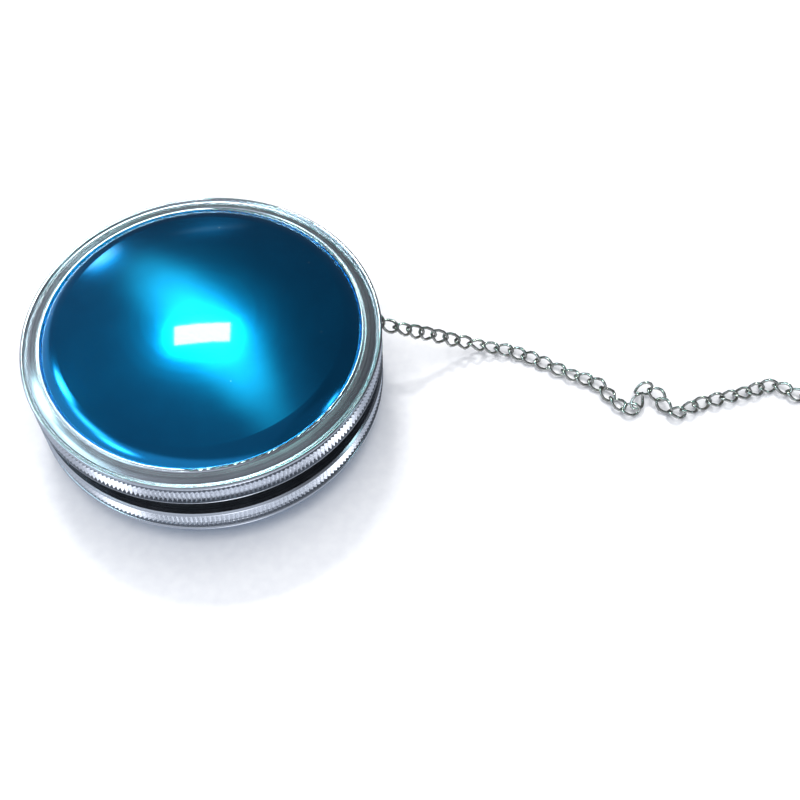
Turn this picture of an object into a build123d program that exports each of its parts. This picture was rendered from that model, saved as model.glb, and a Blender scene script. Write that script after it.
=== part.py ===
"""Metal yo-yo that runs on a fine curb chain instead of a string.

Two equal halves turn on a ball bearing. Each half is a turned aluminium body with a coin edge,
a bezel and a blue domed cap. The chain is wound in the gap between the halves, leaves it on the
+X side and lies on the surface as far as its finger ring.

Millimetres. +Z is the spin axis, and the origin is the middle of the axle.
"""
from build123d import *
import math
import os

# Overall sizes
outer_radius = 28.5
gap_width = 3.5
rim_height = 3.4
bezel_width = 3.3
cap_rise = 4.35

# Cap: a shallow crown with a tighter shoulder round it
cap_wall = 1.0
crown_radius = 95.0
shoulder_width = 2.8
cap_edge_height = 1.4
cap_clearance = 0.03

# Bezel, from the neck under its bead to the lip round the cap
bead_radius = 0.35
neck_depth = 0.45
neck_height = 0.6
groove_width = 0.3
groove_depth = 0.3
band_fall = 0.6
band_slope = 12
trough_width = 0.35
trough_depth = 0.15
lip_radius = 0.22
spigot_wall = 1.0
spigot_depth = 0.9
spigot_clearance = 0.03

# Coin edge round each half body
tooth_pitch = 0.72
tooth_height = 0.32
tooth_sink = 0.08
edge_chamfer = 0.3
edge_strip = 0.45
strip_overlap = 0.05
coin_edge_height = 2.75

# Half body
web_thickness = 2.0
rim_wall = 5.3
hub_radius = 8.0

# Ball bearing: quarter inch bore, half inch outside
bearing_bore = 6.35
bearing_outside = 12.7
bearing_width = 4.76
race_wall = 1.1
ball_diameter = 1.588
ball_count = 8
ball_clearance = 0.02
cage_wall = 0.65
cage_height = 2.4
shield_thickness = 0.25
shield_inset = 0.13
shield_lap = 0.3
shield_gap = 0.1
race_clearance = 0.3

# Axle, its nuts and the seats that carry the bearing
axle_diameter = 4.0
axle_length = 16.0
thread_clearance = 0.02
axle_hole_clearance = 0.1
nut_across_flats = 7.0
nut_thickness = 3.2
nut_clearance = 0.05
nut_cover = 0.3
pocket_floor = 1.8
seat_bore_clearance = 0.05
seat_fit_clearance = 0.025
seat_face_clearance = 0.02
seat_flange_thickness = 0.8
seat_end_gap = 0.18

# Response pads
pad_thickness = 0.9
pad_width = 2.8
pad_gap = 0.9

# Chain: its loop round the bearing, the wound length and the free length
chain_width = 2.45
chain_diameter = 2.0
loop_wire = 0.6
loop_clearance = 0.02
winding_clearance = 0.13
winding_outer_radius = 24.5

# End ring and finger ring
end_ring_wire = 0.6
end_ring_bore = 2.2
finger_bore_radius = 10.5
finger_wall = 1.5
finger_width = 3.4
finger_edge_radius = 0.3
lug_thickness = 1.2
lug_width = 3.2
lug_hole_radius = 0.8
lug_wall = 0.8
floor_clearance = 0.1

# Levels of the upper half, from the middle plane outwards
face_z = gap_width / 2
rim_top_z = face_z + rim_height
cap_edge_z = rim_top_z + cap_edge_height
apex_z = cap_edge_z + cap_rise
floor_z = -apex_z
bearing_half = bearing_width / 2
recess_z = bearing_half + race_clearance
flange_z = bearing_half + seat_face_clearance
seat_floor_z = flange_z + seat_flange_thickness + seat_face_clearance
pocket_z = seat_floor_z + pocket_floor
hub_top_z = pocket_z + nut_thickness + nut_cover
web_top_z = face_z + web_thickness
pad_floor_z = face_z + pad_thickness

# Radii that follow from the sizes above
cap_radius = outer_radius - bezel_width
bezel_bore_radius = cap_radius + cap_clearance
neck_radius = outer_radius - neck_depth
rim_inner_radius = outer_radius - rim_wall
spigot_radius = bezel_bore_radius + spigot_wall
axle_radius = axle_diameter / 2
inner_race_radius = bearing_bore / 2
outer_race_radius = bearing_outside / 2
inner_land_radius = inner_race_radius + race_wall
outer_land_radius = outer_race_radius - race_wall
ball_radius = ball_diameter / 2
ball_pitch_radius = (inner_race_radius + outer_race_radius) / 2
flange_radius = inner_land_radius
bearing_recess_radius = outer_race_radius + race_clearance
pad_inner_radius = bearing_recess_radius + pad_gap
pad_outer_radius = pad_inner_radius + pad_width
loop_radius = outer_race_radius + loop_clearance + loop_wire / 2
winding_inner_radius = loop_radius + loop_wire / 2 + winding_clearance
end_ring_radius = (end_ring_bore + end_ring_wire) / 2
finger_outer_radius = finger_bore_radius + finger_wall

# Route of the free chain: out of the gap, down to the surface, along it with one fold, to its end
surface_z = floor_z + chain_diameter / 2
chain_route = [
    (21.3, 12.1, 0.0),
    (24.8, 9.0, 0.0),
    (29.3, 7.1, -0.6),
    (34.4, 7.2, -3.8),
    (39.4, 8.0, -7.2),
    (44.8, 8.9, -9.3),
    (50.4, 8.0, surface_z),
    (55.6, 5.1, surface_z),
    (60.4, 2.8, surface_z),
    (64.0, 1.2, surface_z),
    (67.2, -1.9, surface_z),
    (71.0, -3.3, surface_z),
    (72.6, 0.0, -9.0),
    (75.6, -0.1, -9.0),
    (76.9, -3.6, surface_z),
    (80.7, -3.8, surface_z),
    (85.3, -2.6, surface_z),
    (90.0, -0.7, surface_z),
    (95.0, -0.6, surface_z),
    (99.6, -1.1, surface_z),
    (103.6, -0.8, surface_z),
]

# A turn of the route uses this share of its shorter run
turn_share = 0.45

lug_offset = finger_outer_radius + lug_hole_radius + lug_wall
end_ring_center = Vector(
    chain_route[-1][0] + end_ring_radius + end_ring_wire / 2,
    chain_route[-1][1],
    floor_z + end_ring_radius + end_ring_wire / 2 + floor_clearance,
)
finger_center = Vector(
    end_ring_center.X + end_ring_radius + lug_offset,
    end_ring_center.Y,
    floor_z + finger_width / 2,
)


def turned(outline):
    """Solid of revolution about the spin axis from a closed outline of (radius, height)."""
    return revolve(Plane.XZ * make_face(outline), Axis.Z)


def turned_polygon(*points):
    """Solid of revolution from the corners of its outline."""
    return turned(Polyline(*points, close=True))


def ring(inner, outer, low, high):
    """Plain ring about the spin axis between two radii and two heights."""
    return turned_polygon((inner, low), (outer, low), (outer, high), (inner, high))


def dome(radius, base_z, edge_z, top_z, crown, shoulder):
    """Solid under a cap surface: a straight skirt, a shoulder arc and a crown arc, all in line."""
    join_radius = radius - shoulder
    slope = math.asin(join_radius / crown)
    join = (join_radius, top_z - crown * (1 - math.cos(slope)))
    skirt = Polyline((0, top_z), (0, base_z), (radius, base_z), (radius, edge_z))
    shoulder_arc = TangentArc(join, (radius, edge_z), tangent=(math.cos(slope), -math.sin(slope)))
    crown_arc = TangentArc((0, top_z), join, tangent=(1, 0))
    return turned([*skirt.edges(), *shoulder_arc.edges(), *crown_arc.edges()])


def make_cap():
    """Domed cap, open below, standing on the rim inside the bezel."""
    outside = dome(cap_radius, rim_top_z, cap_edge_z, apex_z, crown_radius, shoulder_width)
    inside = dome(
        cap_radius - cap_wall,
        rim_top_z,
        cap_edge_z - cap_wall / 2,
        apex_z - cap_wall,
        crown_radius - cap_wall,
        shoulder_width,
    )
    return outside - inside


def make_bezel():
    """Bezel: spigot, neck, bead, groove, rounded band, trough and the lip round the cap."""
    bead_x = outer_radius - bead_radius
    bead_z = rim_top_z + neck_height + bead_radius
    groove_x = bead_x - bead_radius - groove_width / 2
    groove_z = bead_z - groove_depth
    band_out = (groove_x - groove_width / 2, bead_z)
    lip_x = bezel_bore_radius + lip_radius
    lip_z = bead_z + band_fall
    trough_x = lip_x + lip_radius + trough_width / 2
    band_in = (trough_x + trough_width / 2, lip_z)
    trough_z = lip_z - trough_depth
    spigot_z = rim_top_z - spigot_depth
    lower = Polyline(
        (bezel_bore_radius, lip_z),
        (bezel_bore_radius, spigot_z),
        (spigot_radius, spigot_z),
        (spigot_radius, rim_top_z),
        (neck_radius, rim_top_z),
        (neck_radius, rim_top_z + neck_height),
        (bead_x, rim_top_z + neck_height),
    )
    bead_bottom = (bead_x, rim_top_z + neck_height)
    bead_inside = (bead_x - bead_radius, bead_z)
    bead = [
        ThreePointArc(bead_bottom, (outer_radius, bead_z), (bead_x, bead_z + bead_radius)),
        RadiusArc((bead_x, bead_z + bead_radius), bead_inside, -bead_radius),
    ]
    groove = Polyline(bead_inside, (groove_x, groove_z), band_out)
    slope = math.radians(band_slope)
    band = TangentArc(band_in, band_out, tangent=(math.cos(slope), -math.sin(slope)))
    trough = Polyline(band_in, (trough_x, trough_z), (lip_x + lip_radius, lip_z))
    lip = ThreePointArc(
        (lip_x + lip_radius, lip_z), (lip_x, lip_z + lip_radius), (bezel_bore_radius, lip_z)
    )
    return turned([*lower.edges(), *bead, *groove.edges(), band, *trough.edges(), lip])


def make_coin_edge():
    """Ring of pointed teeth that the half body carries as its grip."""
    tip_radius = outer_radius - tooth_sink
    root_radius = tip_radius - tooth_height
    low = face_z + edge_strip - strip_overlap
    count = round(2 * math.pi * outer_radius / tooth_pitch)
    corners = []
    for tooth in range(count):
        root_angle = 2 * math.pi * tooth / count
        tip_angle = 2 * math.pi * (tooth + 0.5) / count
        corners.append((root_radius * math.cos(root_angle), root_radius * math.sin(root_angle)))
        corners.append((tip_radius * math.cos(tip_angle), tip_radius * math.sin(tip_angle)))
    outline = make_face(Polyline(*corners, close=True))
    band = outline - Circle(neck_radius - tooth_height)
    return Pos(0, 0, low) * extrude(band, coin_edge_height + strip_overlap)


def make_half_body():
    """Half body: rim with its coin edge, thin web, and the hub that holds seat and nut."""
    hole_radius = axle_radius + axle_hole_clearance
    counterbore_radius = flange_radius + seat_bore_clearance
    groove_out = spigot_radius + spigot_clearance
    groove_in = bezel_bore_radius - spigot_clearance
    groove_z = rim_top_z - spigot_depth - spigot_clearance
    body = turned_polygon(
        (hole_radius, seat_floor_z),
        (counterbore_radius, seat_floor_z),
        (counterbore_radius, recess_z),
        (bearing_recess_radius, recess_z),
        (bearing_recess_radius, face_z),
        (pad_inner_radius, face_z),
        (pad_inner_radius, pad_floor_z),
        (pad_outer_radius, pad_floor_z),
        (pad_outer_radius, face_z),
        (outer_radius - edge_chamfer, face_z),
        (outer_radius, face_z + edge_chamfer),
        (outer_radius, face_z + edge_strip),
        (neck_radius, face_z + edge_strip),
        (neck_radius, rim_top_z),
        (groove_out, rim_top_z),
        (groove_out, groove_z),
        (groove_in, groove_z),
        (groove_in, rim_top_z),
        (rim_inner_radius, rim_top_z),
        (rim_inner_radius, web_top_z),
        (hub_radius, web_top_z),
        (hub_radius, hub_top_z),
        (hole_radius, hub_top_z),
    )
    pocket_size = nut_across_flats / 2 + nut_clearance
    pocket = RegularPolygon(pocket_size, 6, major_radius=False)
    pocket = Pos(0, 0, pocket_z) * extrude(pocket, hub_top_z - pocket_z)
    return body + make_coin_edge() - pocket


def make_hub_nut():
    """Hexagon nut that holds the half on the axle."""
    nut = RegularPolygon(nut_across_flats / 2, 6, major_radius=False)
    nut -= Circle(axle_radius + thread_clearance)
    return Pos(0, 0, pocket_z) * extrude(nut, nut_thickness)


def make_bearing_seat():
    """Flanged sleeve on the axle that carries one side of the bearing's inner race."""
    bore = axle_radius + seat_bore_clearance
    post = inner_race_radius - seat_fit_clearance
    return turned_polygon(
        (bore, seat_end_gap),
        (post, seat_end_gap),
        (post, flange_z),
        (flange_radius, flange_z),
        (flange_radius, flange_z + seat_flange_thickness),
        (bore, flange_z + seat_flange_thickness),
    )


def make_response_pad():
    """Flat rubber ring, flush with the face beside the gap."""
    return ring(pad_inner_radius, pad_outer_radius, face_z, pad_floor_z)


def make_axle():
    """Headless screw that both nuts are on."""
    tip = axle_diameter / 8
    half = axle_length / 2
    return turned_polygon(
        (0, -half),
        (axle_radius - tip, -half),
        (axle_radius, -half + tip),
        (axle_radius, half - tip),
        (axle_radius - tip, half),
        (0, half),
    )


def race_groove():
    """Round track that the balls run in."""
    return Torus(ball_pitch_radius, ball_radius + ball_clearance)


def make_inner_race():
    """Inner race with its ball track."""
    return ring(inner_race_radius, inner_land_radius, -bearing_half, bearing_half) - race_groove()


def make_outer_race():
    """Outer race with its ball track and the two steps that hold the shields."""
    race = ring(outer_land_radius, outer_race_radius, -bearing_half, bearing_half) - race_groove()
    step_radius = outer_land_radius + shield_lap
    step_z = bearing_half - shield_inset - shield_thickness
    step = ring(inner_land_radius, step_radius, step_z, bearing_half)
    return race - step - mirror(step, Plane.XY)


def make_shield():
    """Thin washer that closes the upper side of the bearing."""
    low = bearing_half - shield_inset - shield_thickness
    return ring(
        inner_land_radius + shield_gap,
        outer_land_radius + shield_lap,
        low,
        low + shield_thickness,
    )


def ball_places():
    """Places of the balls round the bearing."""
    return PolarLocations(ball_pitch_radius, ball_count)


def make_balls():
    """All the balls of the bearing, as separate solids."""
    return Compound(children=[place * Sphere(ball_radius) for place in ball_places()])


def make_cage():
    """Ring that spaces the balls, with a round window for each."""
    inner = ball_pitch_radius - cage_wall / 2
    cage = ring(inner, inner + cage_wall, -cage_height / 2, cage_height / 2)
    window = Rot(0, 90, 0) * Cylinder(ball_radius + ball_clearance, 2 * cage_wall)
    for place in ball_places():
        cage -= place * window
    return cage


def make_chain_loop():
    """Wire loop round the outer race that the chain starts from."""
    return Torus(loop_radius, loop_wire / 2)


def make_chain_winding():
    """Outer shape of the length of chain that is wound in the gap."""
    return ring(winding_inner_radius, winding_outer_radius, -chain_width / 2, chain_width / 2)


def turn_radii(points):
    """Radius of each turn of a route, as large as its two runs allow."""
    radii = []
    for before, here, after in zip(points, points[1:], points[2:]):
        run_in = Vector(*here) - Vector(*before)
        run_out = Vector(*after) - Vector(*here)
        half_turn = math.radians(run_in.get_angle(run_out)) / 2
        shorter = min(run_in.length, run_out.length)
        radii.append(turn_share * shorter / math.tan(half_turn))
    return radii


def make_chain_run():
    """Plain tube along the free length of the chain."""
    radii = turn_radii(chain_route)
    print("turn radii:", [round(radius, 1) for radius in radii])
    path = FilletPolyline(*chain_route, radius=radii)
    section = Plane(origin=path @ 0, z_dir=path % 0) * Circle(chain_diameter / 2)
    tube = sweep(section, path=path)
    expected = math.pi * (chain_diameter / 2) ** 2 * path.length
    print(f"chain run: length {path.length:.1f}, volume {tube.volume:.1f}, expected {expected:.1f}")
    return tube


def make_end_ring():
    """Small upright ring that joins the last link to the lug of the finger ring."""
    return Pos(end_ring_center) * Rot(90, 0, 0) * Torus(end_ring_radius, end_ring_wire / 2)


def make_finger_ring():
    """Flat band for the finger, with a drilled lug on the side of the chain."""
    band = Cylinder(finger_outer_radius, finger_width) - Cylinder(finger_bore_radius, finger_width)
    band = fillet(band.edges().filter_by(GeomType.CIRCLE), finger_edge_radius)
    middle = (finger_outer_radius + finger_bore_radius) / 2
    reach = lug_offset - middle
    lug = Pos(-middle - reach / 2, 0, 0) * Box(reach, lug_width, lug_thickness)
    lug += Pos(-lug_offset, 0, 0) * Cylinder(lug_width / 2, lug_thickness)
    lug -= Pos(-lug_offset, 0, 0) * Cylinder(lug_hole_radius, lug_thickness)
    lug_z = end_ring_center.Z - finger_center.Z
    return Pos(finger_center) * (band + Pos(0, 0, lug_z) * lug)


def main():
    half_pieces = {
        "half_body": make_half_body(),
        "bezel": make_bezel(),
        "cap": make_cap(),
        "hub_nut": make_hub_nut(),
        "bearing_seat": make_bearing_seat(),
        "response_pad": make_response_pad(),
        "bearing_shield": make_shield(),
    }
    pieces = {
        "axle": make_axle(),
        "bearing_inner_race": make_inner_race(),
        "bearing_outer_race": make_outer_race(),
        "bearing_balls": make_balls(),
        "bearing_cage": make_cage(),
        "chain_loop": make_chain_loop(),
        "chain_winding": make_chain_winding(),
        "chain_run": make_chain_run(),
        "end_ring": make_end_ring(),
        "finger_ring": make_finger_ring(),
    }
    for name, shape in half_pieces.items():
        pieces["upper_" + name] = shape
        pieces["lower_" + name] = mirror(shape, Plane.XY)
    os.makedirs("parts", exist_ok=True)
    for name, shape in pieces.items():
        export_step(shape, f"parts/{name}.step")


main()
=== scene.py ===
import math

import bpy
from mathutils import Matrix, Quaternion, Vector


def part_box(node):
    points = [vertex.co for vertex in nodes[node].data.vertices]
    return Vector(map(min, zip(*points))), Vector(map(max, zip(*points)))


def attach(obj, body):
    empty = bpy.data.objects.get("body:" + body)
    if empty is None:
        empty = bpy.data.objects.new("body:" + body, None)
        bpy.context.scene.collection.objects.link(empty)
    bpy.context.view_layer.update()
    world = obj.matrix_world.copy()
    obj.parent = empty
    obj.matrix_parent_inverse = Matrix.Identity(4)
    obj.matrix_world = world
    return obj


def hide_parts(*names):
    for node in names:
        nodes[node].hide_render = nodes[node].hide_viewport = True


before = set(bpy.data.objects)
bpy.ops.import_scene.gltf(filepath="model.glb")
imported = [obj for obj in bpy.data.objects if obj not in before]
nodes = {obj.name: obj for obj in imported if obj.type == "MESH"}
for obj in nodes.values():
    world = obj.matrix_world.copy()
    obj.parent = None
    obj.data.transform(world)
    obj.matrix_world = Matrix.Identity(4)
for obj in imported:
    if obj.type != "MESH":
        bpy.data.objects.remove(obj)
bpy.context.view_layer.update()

MM = 0.001
floor_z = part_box("lower_cap")[0][2]

# ---------------------------------------------------------------- camera

CAMERA_PLACE = (0.0313, -0.1129, 0.1591)
CAMERA_TILT = 33.2
CAMERA_LENS = 54.0


def make_camera():
    """A camera level from side to side, looking down on the yo-yo and the free chain."""
    data = bpy.data.cameras.new("camera")
    data.lens = CAMERA_LENS
    data.clip_start = 0.005
    camera = bpy.data.objects.new("camera", data)
    camera.location = CAMERA_PLACE
    camera.rotation_euler = (math.radians(CAMERA_TILT), 0, 0)
    bpy.context.scene.collection.objects.link(camera)
    bpy.context.scene.camera = camera


make_camera()

# ---------------------------------------------------------------- node and colour helpers


def linear(code):
    """An sRGB hex colour as linear RGBA."""
    shares = [int(code[i : i + 2], 16) / 255 for i in (1, 3, 5)]
    return [s / 12.92 if s <= 0.04045 else ((s + 0.055) / 1.055) ** 2.4 for s in shares] + [1.0]


def add(tree, kind, inputs=None, **settings):
    """Adds a node with its settings. An input given a socket is linked, and any other is set.
    Inputs go by name, or by number where a node has no name for them or one name for several."""
    made = tree.nodes.new(kind)
    for name, value in settings.items():
        setattr(made, name, value)
    for name, value in (inputs or {}).items():
        if isinstance(value, bpy.types.NodeSocket):
            tree.links.new(value, made.inputs[name])
        else:
            made.inputs[name].default_value = value
    return made


def new_material(name, **shader_inputs):
    """A material with a Principled shader whose constant inputs are set by name."""
    material = bpy.data.materials.new(name)
    material.use_nodes = True
    tree = material.node_tree
    shader = tree.nodes["Principled BSDF"]
    for key, value in shader_inputs.items():
        shader.inputs[key.replace("_", " ")].default_value = value
    return material, tree, shader


# ---------------------------------------------------------------- materials

# The part of a noise texture's range that its patches use
NOISE_LOW = 0.3
NOISE_HIGH = 0.7


def turning_marks(tree, feed):
    """Fine rings that a lathe tool leaves, with this feed in metres per turn, from 0 to 1. They
    follow the distance from the spin axis and the height, so they run round walls and faces."""
    place = add(tree, "ShaderNodeTexCoord").outputs["Object"]
    flat = add(tree, "ShaderNodeVectorMath", {0: place, 1: (1, 1, 0)}, operation="MULTIPLY")
    radius = add(tree, "ShaderNodeVectorMath", {0: flat.outputs[0]}, operation="LENGTH")
    height = add(tree, "ShaderNodeSeparateXYZ", {0: place}).outputs["Z"]
    section = add(tree, "ShaderNodeCombineXYZ", {"X": radius.outputs["Value"], "Y": height})
    marks = add(
        tree,
        "ShaderNodeTexNoise",
        {"Vector": section.outputs[0], "Scale": 1 / feed, "Detail": 1.0},
        noise_dimensions="2D",
    )
    clear = add(tree, "ShaderNodeMapRange", {0: marks.outputs["Fac"], 1: NOISE_LOW, 2: NOISE_HIGH})
    return clear.outputs[0]


def clouds(tree, size, detail=3.0):
    """Soft irregular patches of about this size in metres, from 0 to 1."""
    place = add(tree, "ShaderNodeTexCoord").outputs["Object"]
    noise = add(tree, "ShaderNodeTexNoise", {"Vector": place, "Scale": 1 / size, "Detail": detail})
    clear = add(tree, "ShaderNodeMapRange", {0: noise.outputs["Fac"], 1: NOISE_LOW, 2: NOISE_HIGH})
    return clear.outputs[0]


def specks(tree, spacing, size, share):
    """Mask of tiny specks: their spacing and size in metres, and the share of them kept."""
    place = add(tree, "ShaderNodeTexCoord").outputs["Object"]
    cells = add(tree, "ShaderNodeTexVoronoi", {"Vector": place, "Scale": 1 / spacing})
    reach = size / spacing
    near = add(
        tree,
        "ShaderNodeMapRange",
        {0: cells.outputs["Distance"], 1: reach, 2: reach / 2, 3: 0.0, 4: 1.0},
    )
    picked = add(
        tree, "ShaderNodeMath", {0: cells.outputs["Color"], 1: share}, operation="LESS_THAN"
    )
    mask = add(
        tree, "ShaderNodeMath", {0: near.outputs[0], 1: picked.outputs[0]}, operation="MULTIPLY"
    )
    return mask.outputs[0]


def dyed_turned_aluminium():
    """Aluminium turned on a lathe, anodised, dyed blue and lacquered. The turning marks under
    the clear lacquer draw each light out into a fan through the middle, and the lacquer adds a
    sharp white reflection on top, with a few grains of dust on it."""
    material, tree, shader = new_material(
        "dyed_turned_aluminium",
        Metallic=1.0,
        Anisotropic=0.3,
        Anisotropic_Rotation=0.25,
        Coat_Weight=0.35,
        Coat_Roughness=0.04,
        Coat_IOR=1.5,
    )
    marks = turning_marks(tree, 0.5 * MM)
    patches = clouds(tree, 6 * MM)
    dye = add(
        tree,
        "ShaderNodeMix",
        {0: patches, 6: linear("#0079B1"), 7: linear("#0082BB")},
        data_type="RGBA",
    )
    dust = specks(tree, 2.4 * MM, 0.14 * MM, 0.45)
    tone = add(
        tree,
        "ShaderNodeMix",
        {0: dust, 6: dye.outputs[2], 7: linear("#DCE6EA")},
        data_type="RGBA",
    )
    rough = add(tree, "ShaderNodeMapRange", {0: marks, 3: 0.145, 4: 0.155})
    relief = add(tree, "ShaderNodeBump", {"Height": marks, "Distance": 0.00005 * MM})
    tangent = add(tree, "ShaderNodeTangent", direction_type="RADIAL", axis="Z")
    tree.links.new(tone.outputs[2], shader.inputs["Base Color"])
    tree.links.new(rough.outputs[0], shader.inputs["Roughness"])
    tree.links.new(relief.outputs[0], shader.inputs["Normal"])
    tree.links.new(tangent.outputs["Tangent"], shader.inputs["Tangent"])
    return material


def spun_aluminium():
    """Bare aluminium cut on a lathe with a fine feed and rubbed with fine cloth: bright rings
    with a soft streaked shine, and faint scuffs from handling."""
    material, tree, shader = new_material(
        "spun_aluminium", Metallic=1.0, Anisotropic=0.7, Anisotropic_Rotation=0.25
    )
    marks = turning_marks(tree, 0.3 * MM)
    scuffs = clouds(tree, 2.5 * MM, 6.0)
    tone = add(
        tree,
        "ShaderNodeMix",
        {0: marks, 6: linear("#B2B6BC"), 7: linear("#CDD0D5")},
        data_type="RGBA",
    )
    rough = add(tree, "ShaderNodeMapRange", {0: scuffs, 3: 0.20, 4: 0.25})
    relief = add(tree, "ShaderNodeBump", {"Height": marks, "Distance": 0.0006 * MM})
    tangent = add(tree, "ShaderNodeTangent", direction_type="RADIAL", axis="Z")
    tree.links.new(tone.outputs[2], shader.inputs["Base Color"])
    tree.links.new(rough.outputs[0], shader.inputs["Roughness"])
    tree.links.new(relief.outputs[0], shader.inputs["Normal"])
    tree.links.new(tangent.outputs["Tangent"], shader.inputs["Tangent"])
    return material


def nickel_wire():
    """Nickel-plated steel wire, tumbled after plating: bright with a slightly warm grey tone,
    duller where the plating is handled and worn."""
    material, tree, shader = new_material("nickel_wire", Metallic=1.0)
    worn = clouds(tree, 1.6 * MM, 4.0)
    tone = add(
        tree,
        "ShaderNodeMix",
        {0: worn, 6: linear("#8E8C84"), 7: linear("#CFCDC4")},
        data_type="RGBA",
    )
    rough = add(tree, "ShaderNodeMapRange", {0: worn, 3: 0.22, 4: 0.10})
    tree.links.new(tone.outputs[2], shader.inputs["Base Color"])
    tree.links.new(rough.outputs[0], shader.inputs["Roughness"])
    return material


def polished_stainless_steel():
    """Stainless steel barrel-polished: a clear cool shine with hairline scratches that run
    every way."""
    material, tree, shader = new_material("polished_stainless_steel", Metallic=1.0)
    hairlines = clouds(tree, 0.4 * MM, 8.0)
    tone = add(
        tree,
        "ShaderNodeMix",
        {0: hairlines, 6: linear("#B4B5B6"), 7: linear("#C6C7C8")},
        data_type="RGBA",
    )
    rough = add(tree, "ShaderNodeMapRange", {0: hairlines, 3: 0.14, 4: 0.26})
    relief = add(tree, "ShaderNodeBump", {"Height": hairlines, "Distance": 0.0012 * MM})
    tree.links.new(tone.outputs[2], shader.inputs["Base Color"])
    tree.links.new(rough.outputs[0], shader.inputs["Roughness"])
    tree.links.new(relief.outputs[0], shader.inputs["Normal"])
    return material


def ground_bearing_steel():
    """Hardened bearing steel, ground and lapped: a mirror with a very fine round grain."""
    material, tree, shader = new_material("ground_bearing_steel", Metallic=1.0)
    grain = turning_marks(tree, 0.2 * MM)
    tone = add(
        tree,
        "ShaderNodeMix",
        {0: grain, 6: linear("#BFC0C3"), 7: linear("#CFD0D2")},
        data_type="RGBA",
    )
    rough = add(tree, "ShaderNodeMapRange", {0: grain, 3: 0.10, 4: 0.20})
    tree.links.new(tone.outputs[2], shader.inputs["Base Color"])
    tree.links.new(rough.outputs[0], shader.inputs["Roughness"])
    return material


def zinc_plated_steel():
    """Steel dipped in a zinc plating bath: a satin grey with cloudy lighter and bluer patches."""
    material, tree, shader = new_material("zinc_plated_steel", Metallic=1.0)
    bloom = clouds(tree, 1.2 * MM, 5.0)
    tone = add(
        tree,
        "ShaderNodeMix",
        {0: bloom, 6: linear("#9EA3A8"), 7: linear("#BDBFBF")},
        data_type="RGBA",
    )
    rough = add(tree, "ShaderNodeMapRange", {0: bloom, 3: 0.30, 4: 0.45})
    tree.links.new(tone.outputs[2], shader.inputs["Base Color"])
    tree.links.new(rough.outputs[0], shader.inputs["Roughness"])
    return material


def turned_brass():
    """Brass turned on a lathe and left bare: warm, with fine rings and a slight brown bloom."""
    material, tree, shader = new_material("turned_brass", Metallic=1.0)
    marks = turning_marks(tree, 0.25 * MM)
    bloom = clouds(tree, 1.5 * MM)
    tone = add(
        tree,
        "ShaderNodeMix",
        {0: bloom, 6: linear("#D9B266"), 7: linear("#C79C52")},
        data_type="RGBA",
    )
    rough = add(tree, "ShaderNodeMapRange", {0: marks, 3: 0.18, 4: 0.32})
    relief = add(tree, "ShaderNodeBump", {"Height": marks, "Distance": 0.0016 * MM})
    tree.links.new(tone.outputs[2], shader.inputs["Base Color"])
    tree.links.new(rough.outputs[0], shader.inputs["Roughness"])
    tree.links.new(relief.outputs[0], shader.inputs["Normal"])
    return material


def moulded_silicone():
    """Silicone rubber moulded flat: a dull milky white with a finely pebbled skin."""
    material, tree, shader = new_material(
        "moulded_silicone", IOR=1.41, Subsurface_Weight=0.2, Subsurface_Scale=0.5 * MM
    )
    pebbles = clouds(tree, 0.3 * MM, 2.0)
    tone = add(
        tree,
        "ShaderNodeMix",
        {0: pebbles, 6: linear("#CFCDC4"), 7: linear("#E0DED6")},
        data_type="RGBA",
    )
    rough = add(tree, "ShaderNodeMapRange", {0: pebbles, 3: 0.50, 4: 0.68})
    relief = add(tree, "ShaderNodeBump", {"Height": pebbles, "Distance": 0.004 * MM})
    tree.links.new(tone.outputs[2], shader.inputs["Base Color"])
    tree.links.new(rough.outputs[0], shader.inputs["Roughness"])
    tree.links.new(relief.outputs[0], shader.inputs["Normal"])
    return material


def moulded_nylon():
    """Nylon moulded for a ball cage: ivory, waxy, with faint flow clouds."""
    material, tree, shader = new_material("moulded_nylon", IOR=1.53)
    flow = clouds(tree, 1.0 * MM, 2.0)
    tone = add(
        tree,
        "ShaderNodeMix",
        {0: flow, 6: linear("#D3CBB3"), 7: linear("#E2DCC8")},
        data_type="RGBA",
    )
    rough = add(tree, "ShaderNodeMapRange", {0: flow, 3: 0.38, 4: 0.52})
    tree.links.new(tone.outputs[2], shader.inputs["Base Color"])
    tree.links.new(rough.outputs[0], shader.inputs["Roughness"])
    return material


def white_painted_board():
    """Board sprayed with matt white paint, for the floor: even, with a faint eggshell texture."""
    material, tree, shader = new_material("white_painted_board", IOR=1.45)
    spray = clouds(tree, 1.5 * MM, 4.0)
    tone = add(
        tree,
        "ShaderNodeMix",
        {0: spray, 6: linear("#F2F2F4"), 7: linear("#F8F8F9")},
        data_type="RGBA",
    )
    rough = add(tree, "ShaderNodeMapRange", {0: spray, 3: 0.85, 4: 0.95})
    tree.links.new(tone.outputs[2], shader.inputs["Base Color"])
    tree.links.new(rough.outputs[0], shader.inputs["Roughness"])
    return material


WIRE = nickel_wire()


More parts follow.
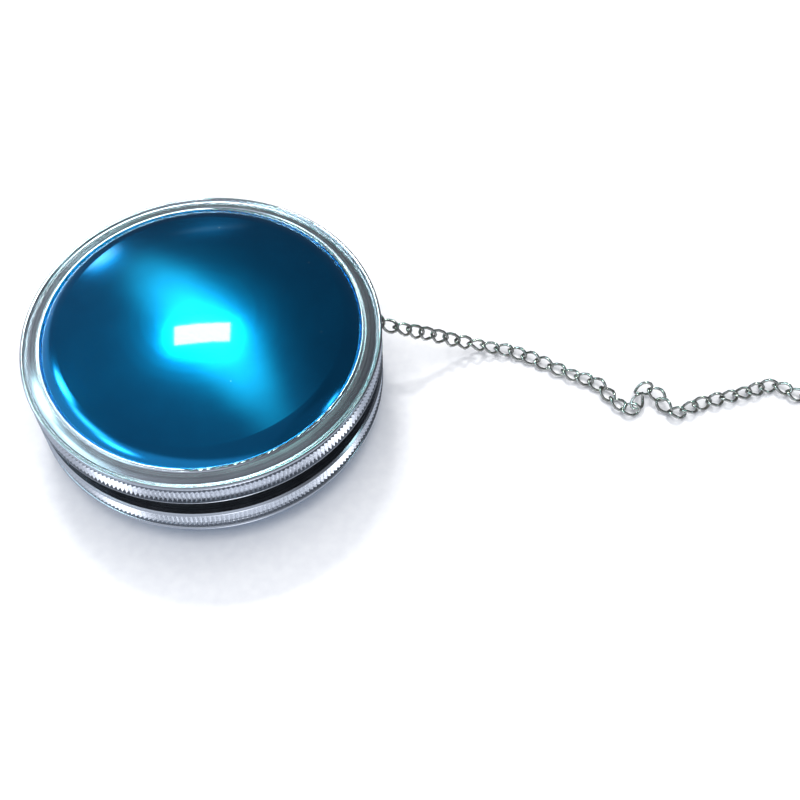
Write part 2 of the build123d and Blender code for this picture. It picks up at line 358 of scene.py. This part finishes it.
def finish_cad_nodes():
    """Gives every piece that comes from the CAD its own material."""
    blue = dyed_turned_aluminium()
    bright = spun_aluminium()
    steel = ground_bearing_steel()
    zinc = zinc_plated_steel()
    finishes = {
        "half_body": bright,
        "bezel": bright,
        "cap": blue,
        "hub_nut": zinc,
        "bearing_seat": turned_brass(),
        "response_pad": moulded_silicone(),
        "bearing_shield": steel,
        "axle": zinc,
        "bearing_inner_race": steel,
        "bearing_outer_race": steel,
        "bearing_balls": steel,
        "bearing_cage": moulded_nylon(),
        "chain_loop": WIRE,
        "end_ring": WIRE,
        "finger_ring": polished_stainless_steel(),
    }
    for name, material in finishes.items():
        for node in (name, "upper_" + name, "lower_" + name):
            if node in nodes:
                nodes[node].data.materials.clear()
                nodes[node].data.materials.append(material)


finish_cad_nodes()

# ---------------------------------------------------------------- chain

CHAIN_DIAMETER = 2.0 * MM
LINK_PITCH = 2.45 * MM
LINK_LENGTH = 3.7 * MM
LINK_WIDTH = 2.6 * MM
WIRE_THICKNESS = 0.52 * MM
LINK_TWIST = math.radians(52)
LINK_SLACK = math.radians(14)
LINK_CORNERS = 14
WIRE_SIDES = 6
LINK_SEED = 7
# A link turns by up to all of the slack about its length, and by up to half of it sideways
SLACK_SHARES = (1.0, 0.0, 0.5)

TURN_START_RADIUS = 8.0 * MM
TURN_END_RADIUS = 23.5 * MM
TURN_SPACING = 1.95 * MM
TURN_END_ANGLE = math.radians(50)
POINTS_PER_TURN = 14
ROUTE_STEPS = 12

# Height of the chain's line where it lies on the floor, in millimetres
surface_z = (floor_z + CHAIN_DIAMETER / 2) / MM
# The chain's line from where it comes off the winding to the end ring, in millimetres
FREE_ROUTE = [
    (21.0, 12.4, 0.0),
    (25.0, 8.7, 0.0),
    (28.7, 6.3, -0.4),
    (32.8, 6.5, -2.2),
    (36.7, 7.4, -4.6),
    (40.9, 8.0, -7.2),
    (45.3, 8.4, -9.2),
    (50.3, 7.9, surface_z),
    (54.4, 6.1, surface_z),
    (58.0, 4.1, surface_z),
    (61.8, 2.3, surface_z),
    (64.9, 1.1, surface_z),
    (66.6, -1.5, surface_z),
    (68.5, -3.7, surface_z),
    (70.9, -4.6, surface_z),
    (71.4, -2.2, -9.4),
    (72.2, -0.4, -9.0),
    (74.2, -1.0, -9.0),
    (75.3, -3.4, -9.4),
    (76.6, -5.2, surface_z),
    (79.0, -4.3, surface_z),
    (81.6, -3.1, surface_z),
    (85.2, -2.1, surface_z),
    (89.2, -1.0, surface_z),
    (92.6, 0.1, surface_z),
    (95.1, 0.9, surface_z),
    (97.1, -0.7, surface_z),
    (99.2, -1.7, surface_z),
    (101.2, -0.9, surface_z),
    (102.9, -0.8, surface_z),
]
# How far the chain is turned about its own line, in degrees: where it is wound, and then at
# each of those points
WOUND_TURN = 90
FREE_TURNS = [80, 45, 20, 10, 65, 15, 0, 5, 50, 10, 0, 20, 10, -20, 20, 40, -20, 20, 45, 10]
FREE_TURNS += [-15, 25, 10, -10, 35, 40, -15, 35, -20, 0]


def winding_points():
    """The wound length: a flat spiral from the loop round the bearing to where it comes off."""
    turns = (TURN_END_RADIUS - TURN_START_RADIUS) / TURN_SPACING
    count = round(turns * POINTS_PER_TURN)
    points = []
    for i in range(count + 1):
        share = i / count
        angle = TURN_END_ANGLE + 2 * math.pi * turns * (1 - share)
        radius = TURN_START_RADIUS + (TURN_END_RADIUS - TURN_START_RADIUS) * share
        points.append((radius * math.cos(angle), radius * math.sin(angle), 0.0))
    return points


def make_route():
    """The chain's whole line as one smooth spline, with the turn of the links as its tilt."""
    wound = winding_points()
    places = wound + [tuple(v * MM for v in point) for point in FREE_ROUTE]
    tilts = [WOUND_TURN] * len(wound) + FREE_TURNS
    data = bpy.data.curves.new("chain_route", "CURVE")
    data.dimensions = "3D"
    data.twist_mode = "Z_UP"
    data.resolution_u = ROUTE_STEPS
    spline = data.splines.new("NURBS")
    spline.points.add(len(places) - 1)
    for point, place, tilt in zip(spline.points, places, tilts):
        point.co = (*place, 1.0)
        point.tilt = math.radians(tilt)
    spline.order_u = 3
    spline.use_endpoint_u = True
    route = bpy.data.objects.new("chain_route", data)
    bpy.context.scene.collection.objects.link(route)
    return route


def plain_mesh(thing):
    """The mesh that an object comes to once its spline or modifiers are worked out."""
    bpy.context.view_layer.update()
    scene_now = bpy.context.evaluated_depsgraph_get()
    return bpy.data.meshes.new_from_object(thing.evaluated_get(scene_now))


def length_of(line):
    """The length of a line through these points."""
    return sum((b - a).length for a, b in zip(line, line[1:]))


def link_tree(sizes):
    """Links set along a route: each link is a wire oval, twisted so that its neighbours pass."""
    tree = bpy.data.node_groups.new("chain_links", "GeometryNodeTree")
    tree.interface.new_socket("Links", in_out="OUTPUT", socket_type="NodeSocketGeometry")
    kinds = {"Route": "NodeSocketObject", "Finish": "NodeSocketMaterial", "Count": "NodeSocketInt"}
    for name in sizes:
        tree.interface.new_socket(
            name, in_out="INPUT", socket_type=kinds.get(name, "NodeSocketFloat")
        )
    given = add(tree, "NodeGroupInput").outputs

    circle = add(tree, "GeometryNodeCurvePrimitiveCircle", {"Resolution": LINK_CORNERS})
    place = add(tree, "GeometryNodeInputPosition").outputs[0]
    apart = add(tree, "ShaderNodeSeparateXYZ", {0: place}).outputs
    lean = add(tree, "ShaderNodeMath", {0: apart["X"], 1: given["Twist"]}, operation="MULTIPLY")
    lengthways = add(
        tree, "ShaderNodeMath", {0: apart["X"], 1: given["Half length"]}, operation="MULTIPLY"
    )
    across = add(
        tree, "ShaderNodeMath", {0: apart["Y"], 1: given["Half width"]}, operation="MULTIPLY"
    )
    level = add(tree, "ShaderNodeMath", {0: lean.outputs[0]}, operation="COSINE")
    rise = add(tree, "ShaderNodeMath", {0: lean.outputs[0]}, operation="SINE")
    level_part = add(
        tree, "ShaderNodeMath", {0: across.outputs[0], 1: level.outputs[0]}, operation="MULTIPLY"
    )
    rise_part = add(
        tree, "ShaderNodeMath", {0: across.outputs[0], 1: rise.outputs[0]}, operation="MULTIPLY"
    )
    shaped = add(
        tree,
        "ShaderNodeCombineXYZ",
        {
            "X": lengthways.outputs[0],
            "Y": level_part.outputs[0],
            "Z": rise_part.outputs[0],
        },
    )
    oval = add(
        tree,
        "GeometryNodeSetPosition",
        {"Geometry": circle.outputs["Curve"], "Position": shaped.outputs[0]},
    )
    section = add(
        tree,
        "GeometryNodeCurvePrimitiveCircle",
        {"Resolution": WIRE_SIDES, "Radius": given["Wire radius"]},
    )
    link = add(
        tree,
        "GeometryNodeCurveToMesh",
        {"Curve": oval.outputs[0], "Profile Curve": section.outputs["Curve"]},
    )
    info = add(tree, "GeometryNodeObjectInfo", {"Object": given["Route"]})
    line = add(
        tree,
        "GeometryNodeResampleCurve",
        {"Curve": info.outputs["Geometry"], "Count": given["Count"]},
        mode="COUNT",
    )
    along = add(tree, "GeometryNodeInputTangent").outputs[0]
    side = add(tree, "GeometryNodeInputNormal").outputs[0]
    facing = add(
        tree,
        "FunctionNodeAxesToRotation",
        {"Primary Axis": along, "Secondary Axis": side},
        primary_axis="X",
        secondary_axis="Y",
    )
    slack = add(
        tree,
        "ShaderNodeVectorMath",
        {0: given["Slack"], 1: SLACK_SHARES},
        operation="MULTIPLY",
    ).outputs[0]
    least = add(
        tree, "ShaderNodeVectorMath", {0: slack, "Scale": -1.0}, operation="SCALE"
    ).outputs[0]
    jitter = add(
        tree,
        "FunctionNodeRandomValue",
        {0: least, 1: slack, "Seed": LINK_SEED},
        data_type="FLOAT_VECTOR",
    )
    turned = add(
        tree,
        "FunctionNodeRotateRotation",
        {"Rotation": facing.outputs[0], "Rotate By": jitter.outputs[0]},
        rotation_space="LOCAL",
    )
    placed = add(
        tree,
        "GeometryNodeInstanceOnPoints",
        {"Points": line.outputs[0], "Instance": link.outputs[0], "Rotation": turned.outputs[0]},
    )
    real = add(tree, "GeometryNodeRealizeInstances", {"Geometry": placed.outputs[0]})
    smooth = add(tree, "GeometryNodeSetShadeSmooth", {"Geometry": real.outputs[0]})
    finished = add(
        tree,
        "GeometryNodeSetMaterial",
        {"Geometry": smooth.outputs[0], "Material": given["Finish"]},
    )
    add(tree, "NodeGroupOutput", {"Links": finished.outputs[0]})
    return tree


def grown(name, tree, values):
    """The plain mesh object that a tree makes from these input values."""
    host = bpy.data.objects.new(name, bpy.data.meshes.new(name))
    bpy.context.scene.collection.objects.link(host)
    modifier = host.modifiers.new("grow", "NODES")
    modifier.node_group = tree
    sockets = {item.name: item.identifier for item in tree.interface.items_tree}
    for key, value in values.items():
        modifier[sockets[key]] = value
    mesh = plain_mesh(host)
    host.modifiers.clear()
    host.data = mesh
    return host


def make_chain():
    """The chain's links along its route, made into one mesh hung from the chain's body in place of
    the CAD winding and run, which are hidden.
    """
    route = make_route()
    line = [vertex.co.copy() for vertex in plain_mesh(route).vertices]
    length = length_of(line)
    sizes = {
        "Route": route,
        "Finish": WIRE,
        "Count": round(length / LINK_PITCH) + 1,
        "Half length": (LINK_LENGTH - WIRE_THICKNESS) / 2,
        "Half width": (LINK_WIDTH - WIRE_THICKNESS) / 2,
        "Wire radius": WIRE_THICKNESS / 2,
        "Twist": LINK_TWIST,
        "Slack": LINK_SLACK,
    }
    chain = grown("chain", link_tree(sizes), sizes)
    bpy.data.objects.remove(route)
    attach(chain, "chain")
    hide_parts("chain_winding", "chain_run")


make_chain()

# ---------------------------------------------------------------- floor and light

FLOOR_HALF = 2.0
KEY_PLACE = (105.5, 57.6)
KEY_SIZE = (0.20, 0.09)
KEY_POWER = 3.6
KEY_ROLL = -11
FILL_HEIGHT = 1.5
FILL_SIZE = (1.5, 1.5)
FILL_POWER = 21
BACKGROUND_LEVEL = 0.95
DARK_SIDE = 0.14
LIT_SIDE = 0.28
WHITE_SHEET = 0.85
PALE_CEILING = 0.22

# Each soft glow: azimuth, elevation, roll, length and width in degrees, strength and colour.
# The first draws the fan on the dome and the second lights the coin edges from below. Only
# shiny surfaces show the glows, so the first one's blue-green doesn't tint the floor.
GLOWS = [
    (103, 56.5, -67, 34, 9.5, 4.6, "#70FFEE"),
    (-77, -56, 67, 34, 14, 3.0, "#F4F7FF"),
    (160, 38, 80, 10, 7, 20.0, "#C4F2FF"),
    (-176, 42, 10, 24, 9, 5.0, "#C4F2FF"),
    (-148, 38, 0, 16, 7, 10.0, "#C4F2FF"),
    (120, 25, 20, 5, 2, 12.0, "#C4F2FF"),
    (100, 25, 0, 8, 1.5, 1.2, "#C4F2FF"),
    (-6, 22, 0, 9, 7, 8.0, "#C4F2FF"),
]


def direction(azimuth, elevation):
    """The unit vector at that bearing (0 is +X, 90 is +Y) and height angle, in degrees."""
    a, e = math.radians(azimuth), math.radians(elevation)
    return Vector((math.cos(e) * math.cos(a), math.cos(e) * math.sin(a), math.sin(e)))


def softbox(name, place, size, power, roll=0.0, glossy=True):
    """A rectangular studio light aimed at the middle of the yo-yo and rolled about its aim. One
    that isn't glossy lights matt surfaces only."""
    data = bpy.data.lights.new(name, "AREA")
    data.shape = "RECTANGLE"
    data.size, data.size_y = size
    data.energy = power
    light = bpy.data.objects.new(name, data)
    light.location = place
    aim = (-place).to_track_quat("-Z", "Y")
    light.rotation_euler = (aim @ Quaternion((0, 0, 1), math.radians(roll))).to_euler()
    light.visible_glossy = glossy
    bpy.context.scene.collection.objects.link(light)


def glow(tree, azimuth, elevation, roll, length, width, strength):
    """Brightness of a soft oval light in the surroundings. Its length and width are the angles
    at which it has faded out, in degrees, and roll turns it from level about its own middle."""
    outwards = add(tree, "ShaderNodeTexCoord").outputs["Generated"]
    middle = direction(azimuth, elevation)
    level = Vector((0, 0, 1)).cross(middle).normalized()
    along = Quaternion(middle, math.radians(roll)) @ level
    frame_of_light = Matrix((along, middle.cross(along), middle)).transposed()
    turned = add(
        tree,
        "ShaderNodeMapping",
        {
            "Vector": outwards,
            "Location": middle,
            "Rotation": frame_of_light.to_euler(),
            "Scale": (math.radians(length), math.radians(width), 1.0),
        },
        vector_type="TEXTURE",
    ).outputs[0]
    near = add(tree, "ShaderNodeTexGradient", {0: turned}, gradient_type="SPHERICAL").outputs[1]
    return add(
        tree,
        "ShaderNodeMapRange",
        {0: near, 1: 0.0, 2: 1.0, 3: 0.0, 4: strength},
        interpolation_type="SMOOTHSTEP",
    ).outputs[0]


def make_floor():
    """A large matt white floor that the lower cap stands on. Shiny surfaces don't show it."""
    data = bpy.data.meshes.new("floor")
    corners = [(-1, -1), (1, -1), (1, 1), (-1, 1)]
    places = [(x * FLOOR_HALF, y * FLOOR_HALF, floor_z) for x, y in corners]
    data.from_pydata(places, [], [(0, 1, 2, 3)])
    floor = bpy.data.objects.new("floor", data)
    bpy.context.scene.collection.objects.link(floor)
    floor.data.materials.append(white_painted_board())
    floor.visible_glossy = False


def region(tree, facing, start, full, dark, lit):
    """Brightness that rises from dark to lit as the surroundings turn towards a direction:
    start and full are the cosines of the angles from it where the rise starts and is full."""
    outwards = add(tree, "ShaderNodeTexCoord").outputs["Generated"]
    turn = add(
        tree,
        "ShaderNodeVectorMath",
        {0: outwards, 1: Vector(facing).normalized()},
        operation="DOT_PRODUCT",
    ).outputs["Value"]
    return add(
        tree,
        "ShaderNodeMapRange",
        {0: turn, 1: start, 2: full, 3: dark, 4: lit},
        interpolation_type="SMOOTHSTEP",
    ).outputs[0]


def make_surroundings():
    """A studio with white sheets low on the left and in front, a pale ceiling, a dark far right
    side, and soft round and oval glows."""
    world = bpy.data.worlds.new("studio")
    world.use_nodes = True
    tree = world.node_tree
    tree.nodes.clear()
    level = region(tree, (-0.77, -0.45, 0.45), -0.05, 0.2, DARK_SIDE, LIT_SIDE)
    sheet = region(tree, (-0.45, -0.60, -0.66), -0.28, 0.0, 0.0, WHITE_SHEET)
    ceiling = region(tree, (0.45, -0.80, 0.40), 0.25, 0.70, 0.0, PALE_CEILING)
    for extra in (sheet, ceiling):
        level = add(tree, "ShaderNodeMath", {0: level, 1: extra}, operation="MAXIMUM").outputs[0]
    glows = (0.0, 0.0, 0.0)
    for *place, code in GLOWS:
        colour = linear(code)[:3]
        level_here = glow(tree, *place)
        lit = add(
            tree, "ShaderNodeVectorMath", {0: colour, "Scale": level_here}, operation="SCALE"
        ).outputs[0]
        glows = add(tree, "ShaderNodeVectorMath", {0: glows, 1: lit}, operation="ADD").outputs[0]
    rays = add(tree, "ShaderNodeLightPath").outputs
    shown = add(
        tree, "ShaderNodeMix", {0: rays["Is Camera Ray"], 2: level, 3: BACKGROUND_LEVEL}
    ).outputs[0]
    tint = add(
        tree,
        "ShaderNodeMix",
        {0: rays["Is Camera Ray"], 6: linear("#E8F0FF"), 7: linear("#FCFCFF")},
        data_type="RGBA",
    )
    walls = add(tree, "ShaderNodeBackground", {"Color": tint.outputs[2], "Strength": shown})
    lamps = add(tree, "ShaderNodeBackground", {"Color": glows, "Strength": rays["Is Glossy Ray"]})
    both = add(tree, "ShaderNodeAddShader", {0: walls.outputs[0], 1: lamps.outputs[0]})
    add(tree, "ShaderNodeOutputWorld", {"Surface": both.outputs[0]})
    bpy.context.scene.world = world


def make_studio():
    """White floor, one window-like light behind, an overhead fill and the surroundings."""
    make_floor()
    softbox("key", direction(*KEY_PLACE), KEY_SIZE, KEY_POWER, roll=KEY_ROLL)
    softbox("fill", direction(0, 89) * FILL_HEIGHT, FILL_SIZE, FILL_POWER, glossy=False)
    make_surroundings()
    bpy.context.scene.view_settings.view_transform = "Standard"


make_studio()
